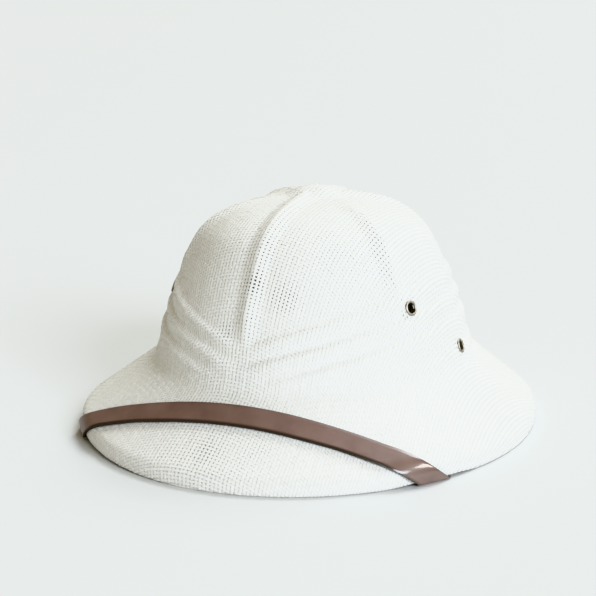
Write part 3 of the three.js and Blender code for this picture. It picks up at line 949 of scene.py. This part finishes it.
brim_corners = [(WALL_OUT, BASE_HEIGHT + WALL_UP), (0, BASE_HEIGHT), (BRIM_RUN, LIP_HEIGHT), (BRIM_RUN, 0)]
strap_off = STRAP_CLEAR + STRAP_THICKNESS / 2
over_brim = beside(brim_corners, strap_off)
under_brim = beside(brim_corners, -CROWN_WALL - HOLLOW_GAP - STRAP_THICKNESS / 2)
strap_corners = [
    over_brim[1],
    beside(brim_corners, strap_off + STRAP_LIP_OUT)[2],
    (over_brim[3][0], -STRAP_CLEAR - STRAP_PRESSED / 2),
    (under_brim[3][0], -STRAP_CLEAR - STRAP_PRESSED / 2),
    under_brim[1],
    under_brim[0],
]
strap_rounds = [STRAP_LIP_ROUND, STRAP_EDGE_ROUND, STRAP_EDGE_ROUND, STRAP_INSIDE_ROUND]
strap_line = round_corners(strap_corners, strap_rounds)
strap_run = lengths_along(strap_line)
strap_heading = np.gradient(strap_line, axis=0)
strap_heading /= np.linalg.norm(strap_heading, axis=1)[:, None]


def strap_point(phi, along, proud):
    at = [np.interp(along, strap_run, column) for column in strap_line.T]
    heading = [np.interp(along, strap_run, column) for column in strap_heading.T]
    return bare_point(phi, CROWN_RADIUS + at[0] - heading[1] * proud, at[1] + heading[0] * proud)


# On the sloping brim the strap runs straight on the brim's flattened cone, then bends over the lip.
cone_share = math.cos(math.atan2(BASE_HEIGHT - LIP_HEIGHT, BRIM_RUN))
front_radius = STRAP_FOLD_RADIUS + STRAP_FRONT_OFFSET
bend_along = strap_run[1]
bend_turn = math.acos(front_radius / (STRAP_FOLD_RADIUS + bend_along)) / cone_share
eyelet_along = strap_run[-1] - math.hypot(WALL_OUT, WALL_UP) * (1 - SIDE_EYELET_HEIGHT / WALL_UP)
end_along = eyelet_along + STRAP_END_PAST


def strap_half(sign):
    """Angle and place along the path, from the front to the strap's end."""
    turn = np.linspace(0, bend_turn, STRAP_SLOPE_STEPS)
    slope_along = front_radius / np.cos(turn * cone_share) - STRAP_FOLD_RADIUS
    slope = np.column_stack([STRAP_TURN + sign * turn, slope_along])
    bends = strap_run[(strap_run > bend_along) & (strap_run < end_along)]
    even = np.linspace(bend_along, end_along, STRAP_INSIDE_STEPS)[1:]
    along = np.unique(np.concatenate([even, bends]).round(STRAP_STEP_DIGITS))
    share = (along - bend_along) / (eyelet_along - bend_along)
    phi = between(STRAP_TURN + sign * bend_turn, sign * SIDE_EYELET_ANGLE, share)
    return np.vstack([slope, np.column_stack([phi, along])])


# The strap's section, once round: the place across its width and how proud it is, both from -1 to 1.
edge_turn = np.linspace(math.pi / 2, -math.pi / 2, STRAP_ROLL_STEPS)[1:-1]
roll_side = 1 - STRAP_ROLL + STRAP_ROLL * np.cos(edge_turn) ** STRAP_ROLL_POWER
roll_proud = np.sign(np.sin(edge_turn)) * abs(np.sin(edge_turn)) ** STRAP_ROLL_POWER
face_side = np.linspace(STRAP_ROLL - 1, 1 - STRAP_ROLL, STRAP_FACE_STEPS)
face_proud = np.ones(STRAP_FACE_STEPS)
section_side = np.concatenate([face_side, roll_side, face_side[::-1], -roll_side])
section_proud = np.concatenate([face_proud, roll_proud, -face_proud, -roll_proud])

right_half = strap_half(-1)[1:][::-1]
left_half = strap_half(1)
route = np.vstack([right_half, left_half])
phi, along = route.T
turned_a_little = strap_point(phi + SMALL_TURN, along, 0) - strap_point(phi, along, 0)
reach = np.linalg.norm(turned_a_little, axis=1) / SMALL_TURN
before = np.vstack([route[:1], route[:-1]])
after = np.vstack([route[1:], route[-1:]])
heading = np.column_stack([(after - before)[:, 0] * reach, (after - before)[:, 1]])
heading /= np.linalg.norm(heading, axis=1)[:, None]
square = np.column_stack([-heading[:, 1], heading[:, 0]])
on_right = np.arange(len(route)) < len(right_half)
level = np.column_stack([np.where(on_right, 1.0, -1.0), np.zeros(len(route))])
at_end = ease(along, eyelet_along - STRAP_LEVEL_AT_END, eyelet_along + STRAP_LEVEL_AT_END)
level_share = ease(abs(phi - STRAP_TURN) / bend_turn, STRAP_LEVEL_FROM, STRAP_LEVEL_TO) * (1 - at_end)
across = between(square, level, level_share[:, None])
across /= np.linalg.norm(across, axis=1)[:, None]
half_width = STRAP_WIDTH / 2 / abs(across[:, 0] * heading[:, 1] - across[:, 1] * heading[:, 0])
sideways = half_width[:, None] * section_side
pressed_along = strap_run[strap_line[:, 1] < strap_line[:, 1].min() + LOWEST_BAND].mean()
off_edge = abs(along[:, None] + across[:, 1:] * sideways - pressed_along)
thickness = between(STRAP_PRESSED, STRAP_THICKNESS, ease(off_edge, STRAP_PRESSED_FLAT, STRAP_PRESSED_REACH))
strap_points = strap_point(
    phi[:, None] + across[:, :1] * sideways / reach[:, None],
    along[:, None] + across[:, 1:] * sideways,
    section_proud * thickness / 2,
)


def leather_finish():
    material, nodes, link, shader = new_material("brown leather")
    shader.inputs["Specular IOR Level"].default_value = LEATHER_SPECULAR
    shader.inputs["Coat IOR"].default_value = LEATHER_COAT_IOR
    shader.inputs["Coat Roughness"].default_value = LEATHER_COAT_ROUGHNESS
    link(attribute_value(nodes, "strap_polish"), shader.inputs["Coat Weight"])
    place = nodes.new("ShaderNodeTexCoord").outputs["Object"]
    finish = clouded(nodes, link, place, LEATHER_CLOUD)
    # The dark edge colour goes on the burnished edges and, as painted shade, on a wider band along the lower
    # edge.
    burnished_and_shaded = nodes.new("ShaderNodeMix")
    burnished_and_shaded.data_type = "RGBA"
    burnished_and_shaded.inputs["B"].default_value = LEATHER_EDGE
    link(attribute_value(nodes, "strap_edge"), burnished_and_shaded.inputs["Factor"])
    link(finish["Tone"], burnished_and_shaded.inputs["A"])
    link(burnished_and_shaded.outputs["Result"], shader.inputs["Base Color"])
    link(finish["Roughness"], shader.inputs["Roughness"])
    grain = nodes.new("ShaderNodeTexVoronoi")
    grain.inputs["Scale"].default_value = GRAIN_SCALE
    link(place, grain.inputs["Vector"])
    bump = nodes.new("ShaderNodeBump")
    bump.inputs["Strength"].default_value = GRAIN_STRENGTH
    bump.inputs["Distance"].default_value = GRAIN_HEIGHT * MM
    link(grain.outputs["Distance"], bump.inputs["Height"])
    link(bump.outputs["Normal"], shader.inputs["Normal"])
    return material


sides = len(section_side)
strap_faces = ring_faces(len(route), sides, False)
strap_faces += [tuple(range(sides))[::-1], tuple(range((len(route) - 1) * sides, len(route) * sides))]
strap = plain_object("chin_strap_leather", strap_points.reshape(-1, 3), strap_faces, leather_finish())
edge_shade = ease(abs(section_side), *STRAP_BURNISH)
# Painted shade: a wider dark band along the strap's lower edge, for its thickness and the gap beneath it in
# shade.
edge_shade = np.maximum(edge_shade, ease(section_side, *STRAP_LOWER_EDGE_SHADE))
point_values(strap.data, "strap_edge", np.tile(edge_shade, len(route)))
point_values(strap.data, "strap_polish", np.repeat(ease(phi, *STRAP_POLISH_ANGLES), sides))
for name in ("eyelet_left_side", "eyelet_right_side"):
    seat, axis, _ = eyelet_seats[name]
    bpy.ops.mesh.primitive_cylinder_add(
        vertices=EYELET_STEPS, radius=EYELET_HOLE * MM, depth=PUNCH_DEPTH * MM, location=seat * MM
    )
    punch = bpy.context.object
    punch.rotation_euler = Vector(axis).to_track_quat("Z", "Y").to_euler()
    hole = strap.modifiers.new(name, "BOOLEAN")
    hole.object = punch
    baked(strap)
    bpy.data.objects.remove(punch)
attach(strap, "root")
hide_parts("chin_strap")


# Studio
# A pale table, cool daylight from a near window on the wearer's left and a higher one behind, a warm room
# that fills the shade, and one more window that shows in gloss alone.
FLOOR_REACH = 80
FLOOR_COLOUR = (0.72, 0.73, 0.735, 1)
FLOOR_ROUGHNESS = 0.6
ROOM_COLOUR = (1, 0.9, 0.66, 1)
ROOM_STRENGTH = 0.38

# Name, azimuth, elevation and spread in degrees, strength, colour, and whether it shows in gloss alone
WINDOWS = [
    ("window glint", 98, 29, 20, 1.6, (1, 0.98, 0.94), True),
    ("near window", 60, 22, 30, 2.6, (0.9, 1, 1.12), False),
    ("back window", 170, 54, 34, 2.45, (0.93, 1, 1.05), False),
]
floor_mesh = bpy.data.meshes.new("floor")
floor_signs = [(-1, -1), (1, -1), (1, 1), (-1, 1)]
floor_corners = [(x * FLOOR_REACH, y * FLOOR_REACH, 0) for x, y in floor_signs]
floor_mesh.from_pydata(floor_corners, [], [(0, 1, 2, 3)])
floor = new_object("floor", floor_mesh)
floor_paint, _, _, floor_shader = new_material("pale table")
floor_shader.inputs["Base Color"].default_value = FLOOR_COLOUR
floor_shader.inputs["Roughness"].default_value = FLOOR_ROUGHNESS
floor_mesh.materials.append(floor_paint)

scene = bpy.context.scene
scene.view_settings.view_transform = "Khronos PBR Neutral"
world = bpy.data.worlds.new("pale room")
world.use_nodes = True
room = world.node_tree.nodes["Background"]
room.inputs["Color"].default_value = ROOM_COLOUR
room.inputs["Strength"].default_value = ROOM_STRENGTH
scene.world = world


def direction_from(azimuth, elevation):
    """Towards a place that is seen from the hat at these angles, in degrees."""
    across = math.cos(math.radians(elevation))
    turn = math.radians(azimuth)
    return Vector((math.sin(turn) * across, -math.cos(turn) * across, math.sin(math.radians(elevation))))


def far_light(name, azimuth, elevation, spread, strength, colour, gloss_only):
    light = bpy.data.lights.new(name, "SUN")
    light.angle = math.radians(spread)
    light.energy = strength
    light.color = colour
    lamp = new_object(name, light)
    lamp.rotation_euler = direction_from(azimuth, elevation).to_track_quat("Z", "Y").to_euler()
    lamp.visible_diffuse = not gloss_only


for window in WINDOWS:
    far_light(*window)


# Camera
# A long lens at the photograph's viewing angle: before the hat, towards the wearer's left and from above.
# The picture is shifted so that the hat stands in the frame where it does there. Distances are in metres.
CAMERA_AZIMUTH = 23.4
CAMERA_ELEVATION = 14.66
CAMERA_DISTANCE = 0.888
CAMERA_TARGET = Vector((-0.00031, 0.00404, 0.05328))
CAMERA_SENSOR = 36
CAMERA_LENS = 79.45
CAMERA_SHIFT_X = -0.027
CAMERA_SHIFT_Y = 0.0567
camera_data = bpy.data.cameras.new("camera")
camera_data.sensor_width = CAMERA_SENSOR
camera_data.lens = CAMERA_LENS
camera_data.shift_x = CAMERA_SHIFT_X
camera_data.shift_y = CAMERA_SHIFT_Y
camera = new_object("camera", camera_data)
towards_camera = direction_from(CAMERA_AZIMUTH, CAMERA_ELEVATION)
camera.location = CAMERA_TARGET + towards_camera * CAMERA_DISTANCE
camera.rotation_euler = towards_camera.to_track_quat("Z", "Y").to_euler()
scene.camera = camera
